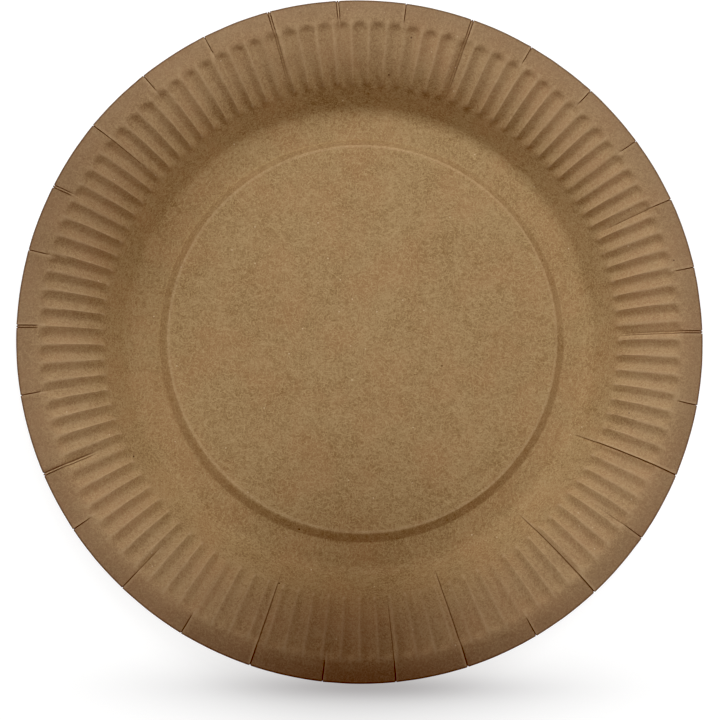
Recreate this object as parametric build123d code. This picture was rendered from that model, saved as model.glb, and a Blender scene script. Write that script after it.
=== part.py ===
from build123d import *
import math
import os

# A pressed paperboard plate, made from one round sheet. Lengths are in millimetres, angles in degrees.
# The section is a chain of lengths, each laid off at its own angle from where the last one ended,
# so the rim's radius and height follow from the sizes below.

# Thickness of the board
board = 0.45

# Middle: a flat disc, raised by a sloping step above the flat ring that the plate stands on
disc_radius = 68.3
step_width = 3.0
step_height = 1.2
foot_width = 7.2

# Wall: a bend at the heel, pressed in short flats, and a plain steep length below the flutes
heel_bend = 6.4
heel_flats = 3
wall_angle = 46.0
wall_length = 6.4

# Flutes: channels pressed into the wall, with narrow ridges left standing between them
flute_count = 108
flute_depth = 0.9
crest_share = 0.22
floor_share = 0.34
nose_length = 1.9
nose_angle = 44.0
channel_lengths = (9.4, 9.2)
channel_angles = (33.0, 19.0)
channel_end_length = 3.2
channel_end_angle = 10.0

# Rim: a flat shoulder, then a plain band that turns down to its cut edge
shoulder_width = 1.5
band_width = 5.1
band_angle = 8.0

# Pleats: fine folds across the band, where the sheet's edge was gathered in pressing
pleat_count = 30
pleat_width = 0.7
pleat_depth = 0.16
pleat_run_in = 0.8


def laid_off(point, length, angle):
    """The section point that lies a length away from another, uphill at an angle."""
    slope = math.radians(angle)
    return (point[0] + length * math.cos(slope), point[1] + length * math.sin(slope))


def normal(start, end):
    """The unit normal of a section line, on the side that food lies on."""
    run = end[0] - start[0]
    rise = end[1] - start[1]
    length = math.hypot(run, rise)
    return (-rise / length, run / length)


def shifted(points, distance):
    """A section line moved sideways by a distance, with its corners mitred."""
    normals = [normal(a, b) for a, b in zip(points, points[1:])]
    before = [normals[0]] + normals
    after = normals + [normals[-1]]
    moved = []
    for point, first, second in zip(points, before, after):
        reach = distance / (1 + first[0] * second[0] + first[1] * second[1])
        radius = point[0] + reach * (first[0] + second[0])
        height = point[1] + reach * (first[1] + second[1])
        moved.append((radius, height))
    return moved


def turned(point, angle):
    """A section point (radius, height) turned by an angle about the plate's axis."""
    radius, height = point
    turn = math.radians(angle)
    return Vector(radius * math.cos(turn), radius * math.sin(turn), height)


def facet(*points):
    """A flat face with straight sides."""
    return Face(Wire.make_polygon(points, close=True))


def strip(inner, inner_angles, outer, outer_angles):
    """The flat facet between two chords, one at each section point."""
    return facet(
        turned(inner, inner_angles[0]),
        turned(inner, inner_angles[1]),
        turned(outer, outer_angles[1]),
        turned(outer, outer_angles[0]),
    )


def flank(foot, crest, foot_angle, crest_angle):
    """The side of a ridge along one length of the flute, twisted a little as the flute widens."""
    low = Edge.make_line(turned(foot[0], foot_angle), turned(foot[1], foot_angle))
    high = Edge.make_line(turned(crest[0], crest_angle), turned(crest[1], crest_angle))
    return Face.make_surface_from_curves(low, high)


def circle(point):
    """The circle that a section point draws about the plate's axis."""
    return Wire(Edge.make_circle(point[0], Plane((0, 0, point[1]))))


def polygon(point, angles):
    """The closed ring of chords that a section point draws at a set of angles."""
    return Wire.make_polygon([turned(point, angle) for angle in angles], close=True)


def cone(start, end):
    """The round face that a section line draws about the axis."""
    return Face.revolve(Edge.make_line(turned(start, 0), turned(end, 0)), 360, Axis.Z)


def ridge_angles():
    """The angles of the ridges' centre lines."""
    return [i * 360 / flute_count for i in range(flute_count)]


def half_angles():
    """Half a ridge's angle at its crest and at its foot."""
    pitch = 360 / flute_count
    return crest_share * pitch / 2, (1 - floor_share) * pitch / 2


def dish_section():
    """The section of the middle: disc's edge, step, foot ring, heel flats and plain wall."""
    rise = math.degrees(math.atan2(step_height, step_width))
    disc_edge = (disc_radius, board + step_height)
    foot_start = laid_off(disc_edge, math.hypot(step_width, step_height), -rise)
    points = [disc_edge, foot_start, (foot_start[0] + foot_width, foot_start[1])]
    flat_angle = wall_angle / heel_flats
    flat_length = 2 * heel_bend * math.tan(math.radians(flat_angle / 2))
    for i in range(heel_flats):
        points.append(laid_off(points[-1], flat_length, (i + 0.5) * flat_angle))
    points.append(laid_off(points[-1], wall_length, wall_angle))
    return points


def channel_section(start):
    """The section along a channel's floor, from the plain wall to where it rises to the rim."""
    points = [start, laid_off(start, nose_length, nose_angle)]
    for length, angle in zip(channel_lengths, channel_angles):
        points.append(laid_off(points[-1], length, angle))
    return points


def rim_section(crest_end):
    """The section from the end of a ridge's crest over the shoulder to the cut edge."""
    shoulder = laid_off(crest_end, channel_end_length, channel_end_angle)
    band_start = laid_off(shoulder, shoulder_width, 0)
    return [shoulder, band_start, laid_off(band_start, band_width, -band_angle)]


def middle_skin(section):
    """One face of the board over the disc, the step and the foot ring."""
    disc_edge, foot_start, foot_end = section[:3]
    foot = Face(polygon(foot_end, ridge_angles()), [circle(foot_start)])
    return [Face(circle(disc_edge)), cone(disc_edge, foot_start), foot]


def heel_skin(section):
    """One face of the board over one flute's share of the heel and the plain wall."""
    half_crest, _ = half_angles()
    pitch = 360 / flute_count
    bend = section[2:-1]
    wall_end = section[-1]
    faces = [strip(low, (0, pitch), high, (0, pitch)) for low, high in zip(bend, bend[1:])]
    faces.append(strip(bend[-1], (0, pitch), wall_end, (half_crest, pitch - half_crest)))
    ridge_foot = turned(bend[-1], 0)
    faces.append(facet(ridge_foot, turned(wall_end, half_crest), turned(wall_end, -half_crest)))
    return faces


def flute_ends(floor, crest, shoulder):
    """The rounded ends of one flute: the ridge's nose on the wall and the channel's end at the rim."""
    half_crest, half_foot = half_angles()
    pitch = 360 / flute_count
    ridge = (-half_crest, half_crest)
    footprint = (-half_foot, half_foot)
    channel = (half_foot, pitch - half_foot)
    faces = [
        strip(floor[0], ridge, crest[1], ridge),
        strip(floor[0], (half_crest, pitch - half_crest), floor[1], channel),
        strip(crest[-1], ridge, shoulder, footprint),
        strip(floor[-1], channel, shoulder, channel),
    ]
    for side in (-1, 1):
        crest_angle = side * half_crest
        foot_angle = side * half_foot
        nose = (turned(floor[0], crest_angle), turned(floor[1], foot_angle), turned(crest[1], crest_angle))
        end = (turned(shoulder, foot_angle), turned(floor[-1], foot_angle), turned(crest[-1], crest_angle))
        faces.append(facet(*nose))
        faces.append(facet(*end))
    return faces


def flute_lengths(floor, crest):
    """The lengths of one flute between its ends: crest, channel floor and the ridge's two flanks."""
    half_crest, half_foot = half_angles()
    pitch = 360 / flute_count
    ridge = (-half_crest, half_crest)
    channel = (half_foot, pitch - half_foot)
    faces = []
    for i in range(1, len(floor) - 1):
        faces.append(strip(crest[i], ridge, crest[i + 1], ridge))
        faces.append(strip(floor[i], channel, floor[i + 1], channel))
        for side in (-1, 1):
            faces.append(flank(floor[i : i + 2], crest[i : i + 2], side * half_foot, side * half_crest))
    return faces


def shoulder_skin(rim):
    """One face of the board over the flat shoulder, from the flutes' ends to the band."""
    _, half_foot = half_angles()
    corners = [angle + side * half_foot for angle in ridge_angles() for side in (-1, 1)]
    return Face(circle(rim[1]), [polygon(rim[0], corners)])


def skin(dish, floor, crest, rim):
    """One whole face of the board, from its centre to the cut edge."""
    one_flute = heel_skin(dish) + flute_ends(floor, crest, rim[0]) + flute_lengths(floor, crest)
    faces = [Rot(0, 0, angle) * face for angle in ridge_angles() for face in one_flute]
    return middle_skin(dish) + faces + [shoulder_skin(rim), cone(rim[1], rim[2])]


def pleat_grooves(band_start, rim_edge):
    """The grooves that the pleats leave across the band, all round the plate."""
    start = laid_off(band_start, -pleat_run_in, -band_angle)
    end = laid_off(rim_edge, pleat_width, -band_angle)
    corners = [(-pleat_width, pleat_depth), (0, -pleat_depth), (pleat_width, pleat_depth)]
    across = Plane(turned(start, 0), x_dir=(0, 1, 0), z_dir=turned(end, 0) - turned(start, 0))
    groove = extrude(across * make_face(Polyline(*corners, close=True)), math.dist(start, end))
    return [Rot(0, 0, i * 360 / pleat_count) * groove for i in range(pleat_count)]


def plate():
    """The whole plate: two skins, one board thickness apart, closed at the cut edge."""
    dish = dish_section()
    floor = channel_section(dish[-1])
    crest = shifted(floor, flute_depth)
    rim = rim_section(crest[-1])

    axis_point = (0, dish[0][1])
    under_dish = shifted([axis_point] + dish + floor[1:2], -board)[1:-1]
    under_floor = shifted(dish[-2:-1] + floor + rim[:1], -board)[1:-1]
    under_crest = shifted(crest + rim, -board)
    under_rim = under_crest[len(crest) :]

    faces = skin(dish, floor, crest, rim)
    faces += skin(under_dish, under_floor, under_crest[: len(crest)], under_rim)
    faces.append(cone(rim[-1], under_rim[-1]))
    print(f"rim radius {rim[-1][0]:.2f} mm, height {rim[0][1]:.2f} mm")
    return Solid(Shell(faces)) - pleat_grooves(rim[1], rim[-1])


os.makedirs("parts", exist_ok=True)
export_step(plate(), "parts/plate.step")
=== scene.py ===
# %% [markdown]
# # A pressed paper plate
# This lesson dresses a round plate of brown kraft board. The plate is one sheet, pressed between two heated
# dies: a flat middle inside a small step, a rounded heel, a wall with 108 flutes, and a plain rim.
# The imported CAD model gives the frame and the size. We build one finer skin over it, and give it a kraft
# board finish made only of nodes.
# Lengths are in millimetres and angles in degrees. MM turns a length into Blender's metres, and points that
# lie less than TINY apart count as one.

# %% Load the frame
import math
import random

import bpy
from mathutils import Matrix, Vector


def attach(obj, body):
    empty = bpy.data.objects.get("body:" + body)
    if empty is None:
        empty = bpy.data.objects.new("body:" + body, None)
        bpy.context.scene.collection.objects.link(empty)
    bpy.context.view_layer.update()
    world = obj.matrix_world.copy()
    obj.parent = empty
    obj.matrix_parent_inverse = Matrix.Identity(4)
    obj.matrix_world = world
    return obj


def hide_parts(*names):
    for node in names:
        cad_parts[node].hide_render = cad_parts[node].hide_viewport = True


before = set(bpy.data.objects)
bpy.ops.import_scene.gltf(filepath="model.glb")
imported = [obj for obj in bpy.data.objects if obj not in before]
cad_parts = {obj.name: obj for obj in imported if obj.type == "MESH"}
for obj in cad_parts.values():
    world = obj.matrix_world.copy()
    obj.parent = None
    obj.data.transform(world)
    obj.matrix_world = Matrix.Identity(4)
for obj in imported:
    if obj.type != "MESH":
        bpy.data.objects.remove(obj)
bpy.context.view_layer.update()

MM = 0.001
TINY = 0.01
AXIS = (0.0, 0.0, 0.0)

# %% [markdown]
# ## Camera
# The photo looks almost straight down into the well, from close by: the pleats lie nearer together at the top
# of the picture than at the bottom. A camera 345 mm above the table, a little off the plate's axis and tilted
# about 5 degrees, gives the same outline. The lens length sets how much of the picture the plate fills.

# %% Camera
CAMERA_PLACE = (-15.0, -37.3, 344.8)
CAMERA_TURN = (4.83, -2.46, 0.9)
LENS = 49.2

bpy.ops.object.camera_add(
    location=[c * MM for c in CAMERA_PLACE],
    rotation=[math.radians(t) for t in CAMERA_TURN],
)
camera = bpy.context.object
camera.name = "camera"
camera.data.lens = LENS
camera.data.sensor_width = 36.0
camera.data.clip_start = 0.01
camera.data.clip_end = 20.0
bpy.context.scene.camera = camera
print("camera at", CAMERA_PLACE, "mm")

# %% [markdown]
# ## Helpers for modelling
# Operators act on whatever is selected, and the loaded CAD nodes start out selected. So each step first
# deselects everything. Inside edit mode we choose points in code, by their radius and their angle about the
# plate's axis, as we would choose them by eye.

# %% Helpers for modelling
def start_clean():
    """Leaves edit mode and deselects every object."""
    if bpy.context.object and bpy.context.object.mode != "OBJECT":
        bpy.ops.object.mode_set(mode="OBJECT")
    bpy.ops.object.select_all(action="DESELECT")


def make_active(piece):
    """Selects one object alone and makes it the active one."""
    start_clean()
    piece.select_set(True)
    bpy.context.view_layer.objects.active = piece


def radius_of(point):
    """Distance from the plate's axis, in millimetres."""
    return math.hypot(point.x, point.y) / MM


def angle_of(point):
    """Angle about the plate's axis, in degrees from 0 to 360, counted from +X."""
    return math.degrees(math.atan2(point.y, point.x)) % 360


def away(angle, middle):
    """How far one angle lies past another, in degrees from -180 to 180."""
    return (angle - middle + 180) % 360 - 180


def choose(piece, wanted):
    """In edit mode, selects exactly the points that the test picks."""
    bpy.ops.mesh.select_mode(type="VERT")
    bpy.ops.mesh.select_all(action="DESELECT")
    bpy.ops.object.mode_set(mode="OBJECT")
    for vertex in piece.data.vertices:
        vertex.select = wanted(vertex.co)
    bpy.ops.object.mode_set(mode="EDIT")


def next_ring(radius, step_out, step_up):
    """Extrudes the selected ring of edges outwards and upwards, and gives the new ring's radius."""
    bpy.ops.mesh.extrude_region_move()
    growth = (radius + step_out) / radius
    bpy.ops.transform.resize(value=(growth, growth, 1), center_override=AXIS)
    bpy.ops.transform.translate(value=(0, 0, step_up * MM))
    return radius + step_out


def smooth_step(value, start, end):
    """Rises gently from 0 at the start to 1 at the end."""
    share = min(max((value - start) / (end - start), 0.0), 1.0)
    return share * share * (3 - 2 * share)


# %% [markdown]
# ## One flute's share of the plate
# Whatever repeats is modelled once. The plate repeats 108 times, so we model a narrow wedge that holds one
# flute, from the middle to the rim. The wedge starts as a short piece of a circle, and each extrusion adds
# one ring of the section. The fluted part gets ten columns of faces, the plain middle only two, because
# flat and gently curved faces need no more.

# %% Sizes of the plate
BOARD = 0.45
FLUTES = 108
PITCH = 360 / FLUTES
COLUMNS = 10
COLUMN = PITCH / COLUMNS
PLAIN_COLUMNS = 2

DISC_HEIGHT = 1.65
DISC_RINGS = (66.2, 62.0, 52.0, 40.0, 27.0, 13.0)
STEP_RINGS = ((71.3, 0.5), (71.05, 0.58), (68.85, 1.55), (68.5, 1.65), (68.0, 1.69), (67.4, 1.68))
FOOT_HEIGHT = 0.45
FOOT_RINGS = (75.8, 73.4, 71.6)
FOOT_EDGE = 77.4
HEEL_START = 78.5
HEEL_BEND = 6.46
HEEL_ANGLE = 46.0
HEEL_PARTS = 6
WALL_LENGTH = 6.4
WALL_PARTS = 3

# %% [markdown]
# The heel is an arc, so its rings come from a loop. Past the heel the wall's slope falls off bit by bit, like
# the slope of a hill that flattens near its top. We list the slope at a few stations along the wall, and
# every ring takes the slope in between.

# %% Slopes along the fluted wall and the rim
WALL_SLOPES = (
    (0.0, 46.0),
    (1.2, 42.3),
    (6.6, 33.5),
    (11.3, 24.9),
    (16.0, 18.8),
    (20.5, 13.6),
    (23.0, 6.0),
    (24.6, 2.0),
    (26.2, -3.0),
    (30.0, -5.0),
)
NOSE_STATIONS = (0.6, 1.2, 1.8, 2.4, 3.0, 3.7)
FLUTE_STATIONS = (5.0, 7.0, 9.0, 11.0, 13.0, 15.0, 17.0, 19.0, 20.4)
END_STATIONS = (21.0, 21.4, 21.8, 22.2, 22.6, 23.1)
RIM_STATIONS = (23.8, 24.5, 25.3, 26.2, 27.5, 28.8, 29.7, 30.01)


def wall_slope(station):
    """The slope of the wall in degrees, that many millimetres along it from where the flutes start."""
    for (near, low), (far, high) in zip(WALL_SLOPES, WALL_SLOPES[1:]):
        if station <= far:
            return low + (high - low) * (station - near) / (far - near)
    return WALL_SLOPES[-1][1]


def uphill(length, slope):
    """How far outwards and upwards a length leads at a slope."""
    return length * math.cos(math.radians(slope)), length * math.sin(math.radians(slope))


# %% An arc to start a strip from
def wedge_arc(radius, columns):
    """A piece of a circle as wide as one flute, at the foot's height, selected in edit mode."""
    start_clean()
    bpy.ops.mesh.primitive_circle_add(
        vertices=FLUTES * columns,
        radius=radius * MM,
        location=(0, 0, FOOT_HEIGHT * MM),
    )
    arc = bpy.context.object
    bpy.ops.object.transform_apply(location=True, rotation=True, scale=True)
    bpy.ops.object.mode_set(mode="EDIT")
    choose(arc, lambda co: abs(away(angle_of(co), 0)) > PITCH / 2 + COLUMN / 4)
    bpy.ops.mesh.delete(type="VERT")
    bpy.ops.mesh.select_all(action="SELECT")
    return arc


# %% Extrude the fluted strip, from the heel to the rim
strip = wedge_arc(HEEL_START, COLUMNS)
part_angle = HEEL_ANGLE / HEEL_PARTS
part_length = 2 * HEEL_BEND * math.sin(math.radians(part_angle / 2))
ring_radius = HEEL_START
for i in range(HEEL_PARTS):
    ring_radius = next_ring(ring_radius, *uphill(part_length, (i + 0.5) * part_angle))
for _ in range(WALL_PARTS):
    ring_radius = next_ring(ring_radius, *uphill(WALL_LENGTH / WALL_PARTS, HEEL_ANGLE))
flute_start = ring_radius
print("flutes start at radius", round(flute_start, 2), "mm")

stations = (0.0, *NOSE_STATIONS, *FLUTE_STATIONS, *END_STATIONS, *RIM_STATIONS)
ring_station = {round(ring_radius, 3): 0.0}
for near, far in zip(stations, stations[1:]):
    ring_radius = next_ring(ring_radius, *uphill(far - near, wall_slope((near + far) / 2)))
    ring_station[round(ring_radius, 3)] = far
print("rim at radius", round(ring_radius, 2), "mm")

# %% [markdown]
# ## The flat middle
# The middle starts as another piece of a circle, at the outer edge of the foot ring, and is extruded inwards.
# The small step up to the disc gets a ring close to each of its bends, so that smooth shading keeps it crisp.
# The last ring is shrunk to one point at the centre.

# %% Extrude the plain strip, from the foot ring to the centre
middle = wedge_arc(FOOT_EDGE, PLAIN_COLUMNS)
section = [(radius, FOOT_HEIGHT) for radius in FOOT_RINGS]
section += STEP_RINGS
section += [(radius, DISC_HEIGHT) for radius in DISC_RINGS]
ring_radius = FOOT_EDGE
ring_height = FOOT_HEIGHT
for radius, height in section:
    ring_radius = next_ring(ring_radius, radius - ring_radius, height - ring_height)
    ring_height = height
bpy.ops.mesh.extrude_region_move()
bpy.ops.transform.resize(value=(0, 0, 1), center_override=AXIS)
bpy.ops.mesh.remove_doubles(threshold=TINY * MM)
bpy.ops.object.mode_set(mode="OBJECT")
print("plain strip:", len(middle.data.polygons), "faces")

# %% [markdown]
# ## From one flute to the whole plate
# The two strips meet in the flat foot ring. A bridge closes the gap between their edges, although one edge
# has more points than the other. Then Spin copies the wedge round the axis, and merging by distance sews
# the copies together. Normals are made to point up before anything is pushed along them.

# %% Join the strips and spin them into a plate
make_active(middle)
strip.select_set(True)
bpy.ops.object.join()
plate = bpy.context.object
plate.name = "paper_plate"
plate.data.name = "paper_plate"
bpy.ops.object.mode_set(mode="EDIT")
choose(plate, lambda co: FOOT_EDGE - TINY < radius_of(co) < HEEL_START + TINY)
bpy.ops.mesh.bridge_edge_loops()
print("one wedge:", len(plate.data.polygons), "faces")

bpy.ops.mesh.select_all(action="SELECT")
bpy.ops.mesh.spin(
    steps=FLUTES - 1,
    dupli=True,
    angle=math.radians(360 - PITCH),
    center=AXIS,
    axis=(0, 0, 1),
)
bpy.ops.mesh.select_all(action="SELECT")
bpy.ops.mesh.remove_doubles(threshold=TINY * MM)
bpy.ops.mesh.normals_make_consistent(inside=False)
bpy.ops.object.mode_set(mode="OBJECT")
if plate.data.polygons[0].normal.z < 0:
    bpy.ops.object.mode_set(mode="EDIT")
    bpy.ops.mesh.select_all(action="SELECT")
    bpy.ops.mesh.flip_normals()
    bpy.ops.object.mode_set(mode="OBJECT")
facing_up = sum(face.normal.z > 0 for face in plate.data.polygons)
print("whole skin:", len(plate.data.polygons), "faces,", facing_up, "of them facing up")

# %% [markdown]
# ## Where the pleats are
# A flat sheet has too much edge for a smaller rim, so the rim gathers it in pleats. There are 30, one every
# 12 degrees, and most of them lie a few columns of faces off their even places. More than half cross only the
# band. The others run on down the wall between the flutes, in to the radius that is given for each. Some
# pleats are folded twice, so that two lines show, and some are pressed more strongly. The numbers count
# anticlockwise from +X.

# %% Pleats
PLEATS = 30
PLEAT_DRIFT = {
    0: 3, 1: 1, 2: 2, 3: 1, 5: 2, 6: -1, 7: -1, 8: -2, 9: -2, 10: -2, 11: -1, 12: -1, 13: -1, 14: -2,
    16: -1, 17: 3, 18: -2, 19: -1, 20: -1, 25: 1, 26: 1, 27: 1, 28: 1, 29: 2,
}
LONG_PLEATS = {
    0: 88.0, 2: 91.0, 6: 90.0, 9: 92.0, 12: 93.0, 17: 96.0, 19: 96.0, 21: 86.0, 23: 88.0, 24: 83.0,
    26: 81.0, 27: 97.0, 28: 80.5,
}
DOUBLE_PLEATS = (0, 6, 8, 9, 13, 15, 17)
STRONG_PLEATS = (17, 21, 24, 26, 28)
SHORT_REACH = 107.6
PLEAT_HALF = 0.1
STRONG_HALF = 0.17


def pleat_angle(number):
    """The angle of a pleat: its even place, moved by a few columns."""
    return (number * 360 / PLEATS + PLEAT_DRIFT.get(number, 0) * COLUMN) % 360


pleat_angles = [pleat_angle(number) for number in range(PLEATS)]

# %% [markdown]
# A pleat is a fine, sharp crease, much narrower than a column of faces. So the columns on both sides of each
# pleat are drawn in towards it. One turn about the axis moves them all together. Beside a double pleat seven
# more columns follow on one side: three make the second line, and four close up the gap behind it.

# %% Draw columns in beside the pleats
WALL_START = HEEL_START + 0.5
SECOND_LINE = 0.42
DOUBLE_COLUMNS = {
    2: SECOND_LINE - PLEAT_HALF,
    3: SECOND_LINE,
    4: SECOND_LINE + PLEAT_HALF,
    5: 0.95,
    6: 1.4,
    7: 1.85,
    8: 2.3,
}


def beside_a_pleat(point, columns, numbers):
    """Whether a point lies that many columns past one of the numbered pleats, on the wall or the rim."""
    if radius_of(point) < WALL_START:
        return False
    angle = angle_of(point)
    return any(abs(away(angle, pleat_angles[n] + columns * COLUMN)) < COLUMN / 4 for n in numbers)


def draw_in(columns, numbers, place):
    """Moves the column that many columns past each numbered pleat to a place so many degrees past it."""
    choose(plate, lambda co: beside_a_pleat(co, columns, numbers))
    turn = math.radians(place - columns * COLUMN)
    bpy.ops.transform.rotate(value=-turn, orient_axis="Z", center_override=AXIS)


make_active(plate)
bpy.ops.object.mode_set(mode="EDIT")
before = [v.co.copy() for v in plate.data.vertices]
fine_pleats = [number for number in range(PLEATS) if number not in STRONG_PLEATS]
for side in (-1, 1):
    draw_in(side, fine_pleats, side * PLEAT_HALF)
    draw_in(side, STRONG_PLEATS, side * STRONG_HALF)
for columns, place in DOUBLE_COLUMNS.items():
    draw_in(columns, DOUBLE_PLEATS, place)
bpy.ops.object.mode_set(mode="OBJECT")
turned = [
    away(angle_of(v.co), angle_of(old))
    for v, old in zip(plate.data.vertices, before)
    if (v.co - old).length > TINY * MM
]
turned_least = round(min(turned), 3)
turned_most = round(max(turned), 3)
print("columns drawn in:", len(turned), "points, by", turned_least, "to", turned_most, "degrees")

# %% [markdown]
# ## Where the pleats run
# The columns beside each pleat lie in place now, so this is the moment to note which points belong to it. A
# vertex group stays with its points through all the pressing below. One group holds the bottoms of the
# grooves, one the side that stands up a little, because the folded sheet lies double there, and one the edge
# of the fold, which is worn pale at the shoulder and painted pale along its length as a highlight.

# %% Vertex groups for the pleats
FADE_AT_SHOULDER = 1.8
FADE_ON_WALL = 5
STRONG_ON_WALL = 0.9
LONG_ON_WALL = 0.6
# How strongly the fold edges are painted pale as a highlight, and how far the shoulder's wear reaches
STRONG_FOLD_HIGHLIGHT = 1.0
LONG_FOLD_HIGHLIGHT = 0.6
SHOULDER_RUB_LENGTH = 2.5
GROOVE_HALF = 0.03
LIP_START = 0.05
LIP_WIDTH = 1.6
LEAST_WEIGHT = 0.001


def nearest_pleat(angle):
    """The number of the pleat nearest to an angle, and how far past it the angle lies."""
    number = min(range(PLEATS), key=lambda n: abs(away(angle, pleat_angles[n])))
    return number, away(angle, pleat_angles[number])


def lip_side(number):
    """The side on which a pleat's sheet lies double: every third one is folded the other way."""
    return 1 if number % 3 else -1


def pleat_strength(number, radius):
    """How strongly a pleat marks the board at a radius: 0 past its inner end, 1 on the band."""
    on_band = smooth_step(radius, SHORT_REACH, SHORT_REACH + FADE_AT_SHOULDER)
    if number not in LONG_PLEATS:
        return on_band
    reach = LONG_PLEATS[number]
    on_wall = STRONG_ON_WALL if number in STRONG_PLEATS else LONG_ON_WALL
    return smooth_step(radius, reach, reach + FADE_ON_WALL) * (on_wall + (1 - on_wall) * on_band)


def groove(point):
    """1 in the bottom of a pleat's groove on the band, less down the wall, and 0 beside it."""
    radius = radius_of(point)
    if radius < WALL_START:
        return 0.0
    number, past = nearest_pleat(angle_of(point))
    lines = (0.0, SECOND_LINE) if number in DOUBLE_PLEATS else (0.0,)
    if min(abs(past - line) for line in lines) > GROOVE_HALF:
        return 0.0
    return pleat_strength(number, radius)


def lip(point):
    """Nearly 1 on the raised side of a pleat, fading away from it."""
    radius = radius_of(point)
    if radius < WALL_START:
        return 0.0
    number, past = nearest_pleat(angle_of(point))
    past *= lip_side(number)
    if past < LIP_START or past > LIP_WIDTH:
        return 0.0
    return (1 - past / LIP_WIDTH) * pleat_strength(number, radius)


def fold_highlight_and_wear(point):
    """How pale the edge of a pleat's fold is on its raised side: worn at the shoulder, a painted highlight
    along the fold.
    """
    radius = radius_of(point)
    number, past = nearest_pleat(angle_of(point))
    if not LIP_START < past * lip_side(number) < LIP_START + STRONG_HALF:
        return 0.0
    at_shoulder = max(0.0, 1 - abs(radius - SHORT_REACH) / SHOULDER_RUB_LENGTH)
    along = STRONG_FOLD_HIGHLIGHT if number in STRONG_PLEATS else LONG_FOLD_HIGHLIGHT
    return max(at_shoulder, along * pleat_strength(number, radius))


def weigh(piece, group_name, weight_of):
    """Fills a vertex group with a weight for each point, from 0 to 1."""
    group = piece.vertex_groups.new(name=group_name)
    filled = 0
    for vertex in piece.data.vertices:
        weight = weight_of(vertex.co)
        if weight > LEAST_WEIGHT:
            group.add([vertex.index], weight, "REPLACE")
            filled += 1
    print(group_name, "reaches", filled, "points")


weigh(plate, "grooves", groove)
weigh(plate, "lips", lip)
weigh(plate, "folds", fold_highlight_and_wear)

# %% [markdown]
# ## Press the flutes
# The die leaves ridges standing between rounded channels. Each ridge begins in a rounded nose on the wall,
# and each channel ends in a short rounded wall below the rim, where everything has risen to one level. Two
# vertex groups say how far each point rises with the ridges or sinks with the channels, and a Displace
# modifier moves it along its normal by that share. A third group notes where the ridges' crests and noses
# get a painted highlight.

# %% Ridges and channel ends
RIDGE_HEIGHT = 0.9
LOWEST_RIDGE = 0.88
RIDGE_SHARPNESS = 1.2
CHANNEL_DEPTH = 0.3
NOSE_RISE = 3.4
CHANNEL_END = 23.3
END_LENGTH = 2.7
END_ROUNDING = 1.7
# Where ridge noses and crests get a painted highlight, and how much of it
NOSE_HIGHLIGHT_START = 1.0
NOSE_HIGHLIGHT_MIDDLE = 2.4
NOSE_HIGHLIGHT_HALF = 1.6
CREST_HIGHLIGHT = 0.5
CREST_HIGHLIGHT_RANGE = (2, 6)
FLANK_HIGHLIGHT = 0.3
random.seed(7)
ridge_heights = [random.uniform(LOWEST_RIDGE, 1.0) for _ in range(FLUTES)]


def station_of(radius):
    """How far along the wall the ring at a radius lies, from where the flutes start, or -1 before that."""
    if radius < flute_start - TINY:
        return -1.0
    return min((abs(radius - known), station) for known, station in ring_station.items())[1]


def ridge_shape(turn):
    """Height of a ridge across its width: 1 on its crest, 0 in the middle of a channel."""
    return max(0.0, 1 - abs(turn) / (PITCH / 2)) ** RIDGE_SHARPNESS


def fluting(point):
    """Shares at a point: the ridge's height, how far flutes have begun, and how much of a channel is left."""
    station = station_of(radius_of(point))
    if station < 0:
        return 0.0, 0.0, 1.0
    angle = angle_of(point)
    flute = round(angle / PITCH) % FLUTES
    begun = smooth_step(station, 0, NOSE_RISE)
    ridge = ridge_shape(away(angle, flute * PITCH))
    end = CHANNEL_END - END_ROUNDING * ridge**2
    channel_left = 1 - smooth_step(station, end - END_LENGTH, end)
    return ridge * (1 - (1 - ridge_heights[flute]) * channel_left), begun, channel_left


def rise(point):
    """How much of the ridges' height a point of the skin stands above the wall."""
    ridge, begun, channel_left = fluting(point)
    return 1 - (1 - ridge * begun) * channel_left


def sink(point):
    """How much of the channels' depth a point of the skin lies below the wall."""
    ridge, begun, channel_left = fluting(point)
    return (1 - ridge) * begun * channel_left


def crest_highlight(point):
    """How much painted highlight a ridge's crest gets: most on its nose, less along its narrow top."""
    station = station_of(radius_of(point))
    angle = angle_of(point)
    past = abs(away(angle, round(angle / PITCH) * PITCH))
    if station < NOSE_HIGHLIGHT_START or station > CHANNEL_END or past > 1.2 * COLUMN:
        return 0.0
    across = 1.0 if past < COLUMN / 4 else FLANK_HIGHLIGHT
    nose = 1 - abs(station - NOSE_HIGHLIGHT_MIDDLE) / NOSE_HIGHLIGHT_HALF
    return across * max(nose, CREST_HIGHLIGHT * smooth_step(station, *CREST_HIGHLIGHT_RANGE))


def displace(piece, group_name, distance, direction="NORMAL", texture=None):
    """Pushes the points of a vertex group by up to a distance in millimetres, and applies the modifier."""
    make_active(piece)
    push = piece.modifiers.new(group_name, "DISPLACE")
    push.strength = distance * MM
    push.mid_level = 0.5 if texture else 0.0
    push.direction = direction
    push.vertex_group = group_name
    if texture:
        push.texture = texture
        push.texture_coords = "LOCAL"
    bpy.ops.object.modifier_apply(modifier=push.name)


weigh(plate, "ridges", rise)
weigh(plate, "channels", sink)
weigh(plate, "crests", crest_highlight)
displace(plate, "ridges", RIDGE_HEIGHT)
displace(plate, "channels", -CHANNEL_DEPTH)

# %% [markdown]
# ## Unevenness
# Board springs back a little after pressing, and never evenly. Two soft cloud textures push the wall and rim
# up and down by tenths of a millimetre. The middle stays flat, because the plate has to stand on it.

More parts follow.
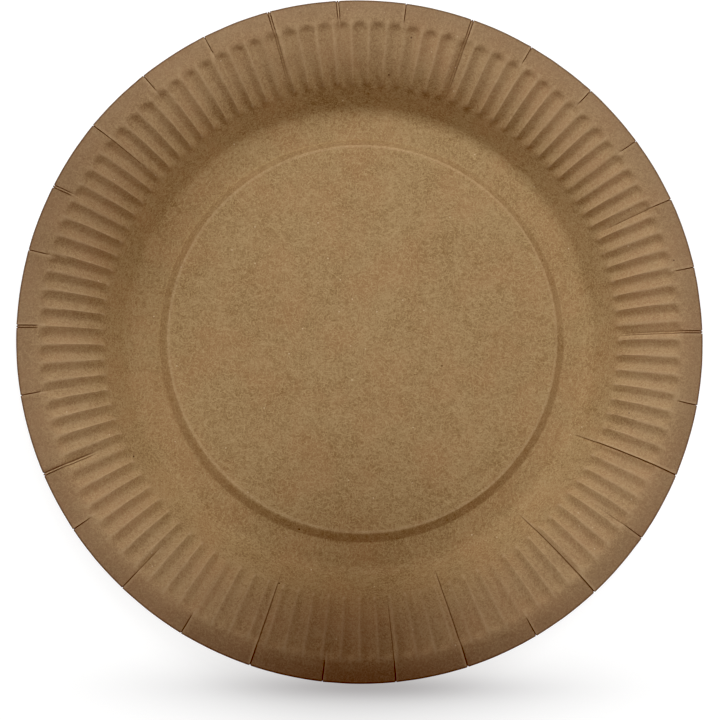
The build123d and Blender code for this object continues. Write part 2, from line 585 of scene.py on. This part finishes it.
# %% Gentle waves in the wall and rim
WAVE_SIZE = 45
WAVE_HEIGHT = 1.0
WAVES_FROM = 86
WAVES_FULL = 114
DENT_SIZE = 5
DENT_HEIGHT = 0.22
DENTS_FROM = 84
DENTS_FULL = 92
DENTS_AT_START = 0.3


def clouds(name, size):
    """A cloud texture with soft blobs of a size."""
    texture = bpy.data.textures.new(name, "CLOUDS")
    texture.noise_scale = size * MM
    texture.noise_depth = 1
    return texture


def wave_share(point):
    """How much of the waves a point takes: none on the heel, all at the cut edge."""
    return smooth_step(radius_of(point), WAVES_FROM, WAVES_FULL)


def dent_share(point):
    """How much of the dents a point takes: none on the middle, some on the plain wall, all further out."""
    radius = radius_of(point)
    if radius <= DENTS_FROM:
        return 0.0
    return DENTS_AT_START + (1 - DENTS_AT_START) * smooth_step(radius, DENTS_FROM, DENTS_FULL)


weigh(plate, "rim_waves", wave_share)
displace(plate, "rim_waves", WAVE_HEIGHT, direction="Z", texture=clouds("rim_clouds", WAVE_SIZE))
weigh(plate, "small_dents", dent_share)
displace(plate, "small_dents", DENT_HEIGHT, texture=clouds("dent_clouds", DENT_SIZE))

# %% [markdown]
# ## Thickness
# Solidify adds the underside, one board thickness below, and closes the cut edge between them. The rings of
# the section were drawn for the upper side, so the offset is all downwards.

# %% Thickness
make_active(plate)
top_points = len(plate.data.vertices)
board = plate.modifiers.new("board", "SOLIDIFY")
board.thickness = BOARD * MM
board.offset = -1.0
board.use_even_offset = True
bpy.ops.object.modifier_apply(modifier=board.name)
print("board:", len(plate.data.polygons), "faces")

# %% [markdown]
# ## Press the pleats
# The pleats' groups now come into use. The raised side of each pleat is lifted, on both faces of the board,
# and its column is pushed down on the upper face to make a narrow groove. The material will want to know
# where to paint shade into the creases and highlights on the crests, noses and fold edges, so those weights
# are kept as attributes too. Where a groove reaches the cut edge, it ends in a small notch. Smooth shading
# comes last, and leaves the cut edge sharp.

# %% Pleat grooves and lips
GROOVE_DEPTH = 0.34
LIP_HEIGHT = 0.16


def weight_in(piece, group_name, vertex):
    """The weight that a point has in a vertex group, 0 if it isn't in it."""
    index = piece.vertex_groups[group_name].index
    return next((entry.weight for entry in vertex.groups if entry.group == index), 0.0)


def mark(piece, name, group_names, points):
    """Keeps the largest weight in the groups as an attribute, on the given points only."""
    attribute = piece.data.attributes.new(name, "FLOAT", "POINT")
    for index in points:
        vertex = piece.data.vertices[index]
        weights = [weight_in(piece, group_name, vertex) for group_name in group_names]
        attribute.data[index].value = max(weights)


displace(plate, "lips", LIP_HEIGHT, direction="Z")
upper = range(top_points)
under = range(top_points, len(plate.data.vertices))
plate.vertex_groups["grooves"].remove(list(under))
# Crease weights for painted shade in the creases, and pale weights for painted highlights and wear
mark(plate, "crease_shade", ("grooves",), upper)
mark(plate, "highlight_and_wear", ("crests", "folds"), upper)
displace(plate, "grooves", -GROOVE_DEPTH, direction="Z")

# %% Notches where the pleats reach the cut edge
RIM_EDGE = 114.95
EDGE_RINGS = 0.25
NOTCH = 0.35
bpy.ops.object.mode_set(mode="EDIT")
choose(plate, lambda co: radius_of(co) > RIM_EDGE - EDGE_RINGS and groove(co) > 0)
inwards = (RIM_EDGE - NOTCH) / RIM_EDGE
bpy.ops.transform.resize(value=(inwards, inwards, 1), center_override=AXIS)
bpy.ops.object.mode_set(mode="OBJECT")

# %% Smooth shading
SMOOTH_BELOW = 50
make_active(plate)
bpy.ops.object.shade_smooth_by_angle(angle=math.radians(SMOOTH_BELOW))
triangles = sum(len(face.vertices) - 2 for face in plate.data.polygons)
print("plate skin:", triangles, "triangles")

# %% [markdown]
# ## Kraft board
# Kraft is unbleached wood pulp. Close up it is a felt of fibres in many browns: soft blotches a few
# millimetres wide, a fine grain, pale single fibres, and now and then a dark fleck or a pale speck. An image
# would do, but nodes stay sharp at any size. The blotches and fibres come from noise, and the specks from
# loose cells, all on Object coordinates that are scaled so that their sizes are in millimetres.

# %% Node helpers
def add(tree, kind, **settings):
    """Adds a node to a node tree, with settings for its properties."""
    node = tree.nodes.new(kind)
    for name, value in settings.items():
        setattr(node, name, value)
    return node


def feed(tree, socket, value):
    """Links another node's output to a socket, or sets the socket to a number or colour."""
    if isinstance(value, bpy.types.NodeSocket):
        tree.links.new(value, socket)
    else:
        socket.default_value = value


def maths(tree, operation, *values):
    """A Math node. Each value is a number or another node's output."""
    node = add(tree, "ShaderNodeMath", operation=operation)
    for socket, value in zip(node.inputs, values):
        feed(tree, socket, value)
    return node.outputs[0]


def in_range(tree, value, low, high, to_low=0.0, to_high=1.0):
    """Maps a range of a value softly to another range, and holds it there."""
    node = add(tree, "ShaderNodeMapRange", interpolation_type="SMOOTHSTEP")
    for socket, number in zip(node.inputs, (value, low, high, to_low, to_high)):
        feed(tree, socket, number)
    return node.outputs["Result"]


def mix(tree, share, below, above):
    """Blends two colours. The share, and either colour, is a value or another node's output."""
    node = add(tree, "ShaderNodeMix", data_type="RGBA")
    for socket, value in zip((node.inputs[0], node.inputs[6], node.inputs[7]), (share, below, above)):
        feed(tree, socket, value)
    return node.outputs[2]


# %% Coordinates in millimetres
kraft = bpy.data.materials.new("kraft_board")
kraft.use_nodes = True
tree = kraft.node_tree
shader = tree.nodes["Principled BSDF"]
to_mm = add(tree, "ShaderNodeMapping")
to_mm.inputs["Scale"].default_value = (1 / MM, 1 / MM, 1 / MM)
tree.links.new(add(tree, "ShaderNodeTexCoord").outputs["Object"], to_mm.inputs["Vector"])
place = to_mm.outputs["Vector"]


def noise(size, detail, roughness=0.6, stretch=1.0, turn=0.0, shift=0.0):
    """Noise with blobs of a size in millimetres, drawn out along a direction in the plate's plane."""
    mapping = add(tree, "ShaderNodeMapping", vector_type="TEXTURE")
    mapping.inputs["Rotation"].default_value = (0, 0, math.radians(turn))
    mapping.inputs["Location"].default_value = (shift, 2 * shift, 3 * shift)
    mapping.inputs["Scale"].default_value = (stretch, 1, 1)
    tree.links.new(place, mapping.inputs["Vector"])
    node = add(tree, "ShaderNodeTexNoise")
    node.inputs["Scale"].default_value = 1 / size
    node.inputs["Detail"].default_value = detail
    node.inputs["Roughness"].default_value = roughness
    tree.links.new(mapping.outputs["Vector"], node.inputs["Vector"])
    return node.outputs["Fac"]


# %% Kraft tones, from coarse clouds to fine grain
PALE_BROWN = (0.447, 0.322, 0.169, 1)
DARK_BROWN = (0.214, 0.138, 0.062, 1)
RED_BROWN = (0.345, 0.202, 0.100, 1)
ASH_BROWN = (0.310, 0.210, 0.135, 1)
BAND_BROWN = (0.190, 0.130, 0.085, 1)
FLECK_BROWN = (0.045, 0.022, 0.012, 1)
SPECK_CREAM = (0.640, 0.500, 0.330, 1)
GRAINS = ((0.42, 0.62), (0.8, 0.48), (1.6, 0.36), (3.6, 0.28), (8.0, 0.24), (17.0, 0.20))
BASE_TONE = 0.42
GRAIN_SHIFT = 31.0
RUDDY_SIZE = 16.0
RUDDY_RANGE = (0.38, 0.7)
RUDDY_SHARE = 0.45

tone = BASE_TONE
for number, (size, strength) in enumerate(GRAINS):
    blobs = noise(size, detail=0.0, shift=GRAIN_SHIFT * number)
    tone = maths(tree, "ADD", tone, maths(tree, "MULTIPLY_ADD", blobs, strength, -strength / 2))
colour = mix(tree, tone, DARK_BROWN, PALE_BROWN)
ruddy = noise(RUDDY_SIZE, detail=4.0, shift=7.0)
colour = mix(tree, in_range(tree, ruddy, *RUDDY_RANGE, 0.0, RUDDY_SHARE), colour, RED_BROWN)

# %% Single fibres, in four directions
FIBRE_TURNS = (12, 58, 101, 149)
FIBRE_SHIFT = 83.0
FIBRE_WIDTH = 0.34
FIBRE_STRETCH = 5.0
FIBRE_RANGE = (0.56, 0.74)
FIBRE_SHARE = 0.7

fibres = []
for number, turn in enumerate(FIBRE_TURNS):
    shift = FIBRE_SHIFT + 19 * number
    strands = noise(FIBRE_WIDTH, detail=1.0, roughness=0.5, stretch=FIBRE_STRETCH, turn=turn, shift=shift)
    fibres.append(in_range(tree, strands, *FIBRE_RANGE, 0.0, FIBRE_SHARE))
    colour = mix(tree, fibres[-1], colour, PALE_BROWN)

# %% Dark flecks and pale specks
SPECK_CORE = 0.4


def specks(spacing, share, size):
    """Round specks of a radius in millimetres, in a share of the cells of a loose grid with that spacing."""
    cells = add(tree, "ShaderNodeTexVoronoi")
    cells.inputs["Scale"].default_value = 1 / spacing
    tree.links.new(place, cells.inputs["Vector"])
    chance = add(tree, "ShaderNodeSeparateColor")
    tree.links.new(cells.outputs["Color"], chance.inputs[0])
    chosen = maths(tree, "LESS_THAN", chance.outputs[0], share)
    near = in_range(tree, cells.outputs["Distance"], size / spacing, SPECK_CORE * size / spacing)
    return maths(tree, "MULTIPLY", near, chosen)


colour = mix(tree, specks(spacing=7.0, share=0.16, size=0.42), colour, FLECK_BROWN)
colour = mix(tree, specks(spacing=4.3, share=0.3, size=0.3), colour, SPECK_CREAM)

# %% [markdown]
# Some marks follow the pressed shape. The band under the narrow ring is darker, beside a thin painted
# highlight along the bend at its inner edge. The ring isn't quite round, so each of its edges has a centre of
# its own. Ridge crests and the noses they start from get painted highlights, and so do the edges of the
# pleats' folds, which are also worn pale at the shoulder. The wall and the rim get greyer and darker
# outwards, and the creases and the cut edge get painted shade.

# %% Ring and rim tones, painted highlights and painted shade
# A dark brown for painted shade, in the creases and along the cut edge
PAINTED_SHADE_BROWN = (0.070, 0.036, 0.016, 1)
RING_BAND_BROWN = (0.180, 0.105, 0.046, 1)
# A pale brown for painted highlights, and for the fold edges' wear at the shoulder
WEAR_AND_HIGHLIGHT_BROWN = (0.545, 0.395, 0.235, 1)
ASHY_WALL = (82.0, 100.0, 0.3)
DARK_BAND = (104.0, 114.0, 0.35)
EDGE_SHADE = (114.3, 114.9, 0.7)
RING_INNER = 68.6
RING_OUTER = 71.2
INNER_CENTRE = (0.6, 0.5)
OUTER_CENTRE = (0.5, -0.1)
RING_HIGHLIGHT_WIDTH = 0.8
SOFT = 0.25
RING_BAND_SHARE = 0.26
RING_HIGHLIGHT_SHARE = 0.22
WEAR_AND_HIGHLIGHT_SHARE = 0.45
CREASE_SHADE_SHARE = 0.8


def radius_about(tree, centre=(0.0, 0.0)):
    """Distance in millimetres from an upright axis through a point of the plate's plane."""
    flat = add(tree, "ShaderNodeMapping")
    flat.inputs["Scale"].default_value = (1 / MM, 1 / MM, 0)
    flat.inputs["Location"].default_value = (-centre[0], -centre[1], 0)
    tree.links.new(add(tree, "ShaderNodeTexCoord").outputs["Object"], flat.inputs["Vector"])
    length = add(tree, "ShaderNodeVectorMath", operation="LENGTH")
    tree.links.new(flat.outputs["Vector"], length.inputs[0])
    return length.outputs["Value"]


def outwards(start, full, share):
    """A tone's share: none at one radius, growing to all of it at another."""
    return in_range(tree, from_axis, start, full, 0.0, share)


def marked(attribute_name, share):
    """A share of the weight that the skin keeps in an attribute."""
    weight = add(tree, "ShaderNodeAttribute", attribute_name=attribute_name)
    return maths(tree, "MULTIPLY", weight.outputs["Fac"], share)


from_axis = radius_about(tree)
colour = mix(tree, outwards(*ASHY_WALL), colour, ASH_BROWN)
colour = mix(tree, outwards(*DARK_BAND), colour, BAND_BROWN)
to_inner = radius_about(tree, INNER_CENTRE)
to_outer = radius_about(tree, OUTER_CENTRE)
past_line = in_range(tree, to_inner, RING_INNER - SOFT, RING_INNER + SOFT)
within_ring = in_range(tree, to_outer, RING_OUTER + SOFT, RING_OUTER - SOFT)
in_ring = maths(tree, "MULTIPLY", past_line, within_ring)
# A thin painted highlight along the bend at the ring's inner edge
highlight_start = RING_INNER - RING_HIGHLIGHT_WIDTH
highlight_begun = in_range(tree, to_inner, highlight_start - 2 * SOFT, highlight_start + SOFT)
ring_highlight = maths(tree, "SUBTRACT", highlight_begun, past_line)
colour = mix(tree, maths(tree, "MULTIPLY", in_ring, RING_BAND_SHARE), colour, RING_BAND_BROWN)
# Painted highlight along the ring's inner bend
colour = mix(tree, maths(tree, "MULTIPLY", ring_highlight, RING_HIGHLIGHT_SHARE), colour, WEAR_AND_HIGHLIGHT_BROWN)
# Painted highlights on ridge crests, noses and fold edges, with real wear at the folds' shoulder
colour = mix(tree, marked("highlight_and_wear", WEAR_AND_HIGHLIGHT_SHARE), colour, WEAR_AND_HIGHLIGHT_BROWN)
# Painted shade in the pleats' creases
colour = mix(tree, marked("crease_shade", CREASE_SHADE_SHARE), colour, PAINTED_SHADE_BROWN)
# Painted shade along the cut edge
colour = mix(tree, outwards(*EDGE_SHADE), colour, PAINTED_SHADE_BROWN)

# %% Finish: colour, roughness and bump
TONE_RANGE = (0.2, 0.8)
ROUGHNESS = (0.85, 0.7)
SPECULAR = 0.12
TONE_RELIEF = 0.8
FIBRE_RELIEF = 0.35
BUMP_STRENGTH = 0.5
BUMP_DEPTH = 0.06

tree.links.new(colour, shader.inputs["Base Color"])
tree.links.new(in_range(tree, tone, *TONE_RANGE, *ROUGHNESS), shader.inputs["Roughness"])
shader.inputs["Specular IOR Level"].default_value = SPECULAR

relief = maths(tree, "MULTIPLY", tone, TONE_RELIEF)
for fibre in fibres:
    relief = maths(tree, "MULTIPLY_ADD", fibre, FIBRE_RELIEF, relief)
bump = add(tree, "ShaderNodeBump")
bump.inputs["Strength"].default_value = BUMP_STRENGTH
bump.inputs["Distance"].default_value = BUMP_DEPTH * MM
tree.links.new(relief, bump.inputs["Height"])
tree.links.new(bump.outputs["Normal"], shader.inputs["Normal"])

plate.data.materials.clear()
plate.data.materials.append(kraft)
print("kraft board:", len(tree.nodes), "nodes")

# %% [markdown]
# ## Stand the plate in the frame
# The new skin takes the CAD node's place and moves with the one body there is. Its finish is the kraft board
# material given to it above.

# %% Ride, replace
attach(plate, "root")
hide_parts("plate")

# %% [markdown]
# ## Floor and light
# The photo has a pure white ground, with a soft flat shadow only under the plate's lower edge. The floor here
# is a light table: it glows evenly, apart from two soft ovals of less glow, one inside the other, for that
# shadow, and less under the plate, where the sides of the plate have to stand on something darker. Each row
# of SHADOWS holds an oval's depth, the place of its middle along the shadow's line, and its two spreads.

# %% Floor
FLOOR_SIZE = 8.0
FLOOR_GREY = (0.2, 0.2, 0.2, 1)
GLOW = 0.88
SHADE_UNDER_PLATE = 0.4
SHADE_UNDER_RANGE = (78.0, 119.0)
SHADOW_LINE = -120.4
SHADOWS = ((0.2, 6.0, 34.0, 2.8), (0.27, 1.0, 50.0, 7.2))


def bell(tree, offsets):
    """A soft bell over offsets that are counted in spreads: 1 in the middle, fading to 0 all round."""
    squares = [maths(tree, "POWER", maths(tree, "ABSOLUTE", off), 2) for off in offsets]
    return maths(tree, "EXPONENT", maths(tree, "MULTIPLY", maths(tree, "ADD", *squares), -0.5))


start_clean()
bpy.ops.mesh.primitive_plane_add(size=FLOOR_SIZE, location=(0, 0, 0))
floor = bpy.context.object
floor.name = "floor"
white = bpy.data.materials.new("white_floor")
white.use_nodes = True
tree = white.node_tree
split = add(tree, "ShaderNodeSeparateXYZ")
tree.links.new(add(tree, "ShaderNodeTexCoord").outputs["Object"], split.inputs[0])
# Less glow under the plate paints a contact shadow there, and the ovals paint the shadow below its lower edge
glow = maths(tree, "MULTIPLY", in_range(tree, radius_about(tree), *SHADE_UNDER_RANGE, SHADE_UNDER_PLATE, 1.0), GLOW)
for depth, middle_x, spread_x, spread_y in SHADOWS:
    offsets = []
    for axis, (middle_of, spread) in enumerate(((middle_x, spread_x), (SHADOW_LINE, spread_y))):
        per_metre = 1 / (spread * MM)
        offsets.append(maths(tree, "MULTIPLY_ADD", split.outputs[axis], per_metre, -middle_of / spread))
    glow = maths(tree, "MULTIPLY_ADD", bell(tree, offsets), -depth, glow)
paper = tree.nodes["Principled BSDF"]
paper.inputs["Base Color"].default_value = FLOOR_GREY
paper.inputs["Roughness"].default_value = 0.9
paper.inputs["Specular IOR Level"].default_value = 0.1
paper.inputs["Emission Color"].default_value = (1, 1, 1, 1)
tree.links.new(glow, paper.inputs["Emission Strength"])
floor.data.materials.append(white)

# %% [markdown]
# The photo's walls are darkest at the top and the upper left, and its lower edge lies in a soft shade. So the
# main light comes from high above the picture's top, and a weaker, lower one from the upper left makes the
# flutes stand out. Each is a round cluster of small lamps rather than one large one, because a small lamp can
# be shaded in its own nodes, as a card held in front of it would do. The first soft spot lies below the
# plate's lower edge, and a much fainter one lies on its left wall. Each row of SHADES holds a spot's centre,
# size and depth. The shades belong to the lamps, so every view sees the same light.

# %% Light helpers
LIGHT_DISTANCE = 1200.0


def towards_light(azimuth, elevation):
    """The direction of a light, its azimuth counted clockwise from the picture's top."""
    around = math.radians(azimuth)
    up = math.radians(elevation)
    return Vector((math.sin(around) * math.cos(up), math.cos(around) * math.cos(up), math.sin(up)))


def add_lamp(name, place, power):
    """A small lamp at a place, turned to look at the plate's middle."""
    start_clean()
    turn = (-place).to_track_quat("-Z", "Y")
    bpy.ops.object.light_add(type="POINT", location=place, rotation=turn.to_euler())
    lamp = bpy.context.object
    lamp.name = name
    lamp.data.energy = power
    lamp.data.shadow_soft_size = 0.0
    return lamp


# %% Shaded lamps
SHADES = (((-1.0, -127.0, 0.0), 42.0, 0.75), ((-98.0, 30.0, 0.0), 27.0, 0.2))
GOLDEN_ANGLE = math.pi * (3 - math.sqrt(5))


def shade(lamp, ray, centre, size, depth):
    """How much of a lamp's light is left along a ray, round a shaded spot: an output from 1 - depth to 1."""
    tree = lamp.data.node_tree
    centre_ray = lamp.rotation_euler.to_quaternion().inverted() @ (Vector(centre) * MM - lamp.location)
    reach = -centre_ray.z / MM
    steepness = lamp.location.normalized().z
    offsets = []
    for axis, spread in enumerate((size / reach, size * steepness / reach)):
        slant = maths(tree, "DIVIDE", ray.outputs[axis], ray.outputs["Z"])
        off = maths(tree, "SUBTRACT", slant, centre_ray[axis] / centre_ray.z)
        offsets.append(maths(tree, "DIVIDE", off, spread))
    return maths(tree, "MULTIPLY_ADD", bell(tree, offsets), -depth, 1.0)


def shade_lamp(lamp):
    """Dims the rays of a lamp that go to the shaded spots."""
    lamp.data.use_nodes = True
    tree = lamp.data.node_tree
    ray = add(tree, "ShaderNodeSeparateXYZ")
    tree.links.new(add(tree, "ShaderNodeTexCoord").outputs["Normal"], ray.inputs[0])
    light_left = [shade(lamp, ray, *spot) for spot in SHADES]
    tree.links.new(maths(tree, "MULTIPLY", *light_left), tree.nodes["Emission"].inputs["Strength"])


def lamp_cluster(name, way, radius, lamps, power):
    """A round cluster of shaded lamps, spread evenly over a disc that faces the plate."""
    sideways = way.cross(Vector((0, 0, 1))).normalized()
    upwards = sideways.cross(way)
    for number in range(lamps):
        out = radius * math.sqrt((number + 0.5) / lamps)
        around = number * GOLDEN_ANGLE
        spot = way * LIGHT_DISTANCE + (sideways * math.cos(around) + upwards * math.sin(around)) * out
        shade_lamp(add_lamp(f"{name}_{number + 1}", spot * MM, power / lamps))
    print(name, "lamps:", lamps)


lamp_cluster("main", towards_light(azimuth=24, elevation=65), radius=330.0, lamps=24, power=46.0)
lamp_cluster("side", towards_light(azimuth=308, elevation=25), radius=250.0, lamps=9, power=21.0)

# %% [markdown]
# In the photo the shaded parts of the plate are not only darker but deeper in colour, as in a picture whose
# black level was raised after the shot. The same small black level in the view settings does that here. The
# world is dim overhead, and pale round the horizon, so that low views have a plain pale background.

# %% World and picture settings
HORIZON = (0.9, 0.9, 0.9, 1)
OVERHEAD = (0.1, 0.09, 0.08, 1)
SKY_RANGE = (0.06, 0.22)
BLACK_LEVEL = (0.022, 0.036, 0.028)

world = bpy.data.worlds.new("studio")
bpy.context.scene.world = world
world.use_nodes = True
tree = world.node_tree
background = tree.nodes["Background"]
direction = add(tree, "ShaderNodeSeparateXYZ")
tree.links.new(add(tree, "ShaderNodeTexCoord").outputs["Object"], direction.inputs[0])
sky = in_range(tree, direction.outputs["Z"], *SKY_RANGE)
tree.links.new(mix(tree, sky, HORIZON, OVERHEAD), background.inputs["Color"])
background.inputs["Strength"].default_value = 1.0

view = bpy.context.scene.view_settings
view.view_transform = "Standard"
view.use_curve_mapping = True
view.curve_mapping.black_level = BLACK_LEVEL
view.curve_mapping.update()
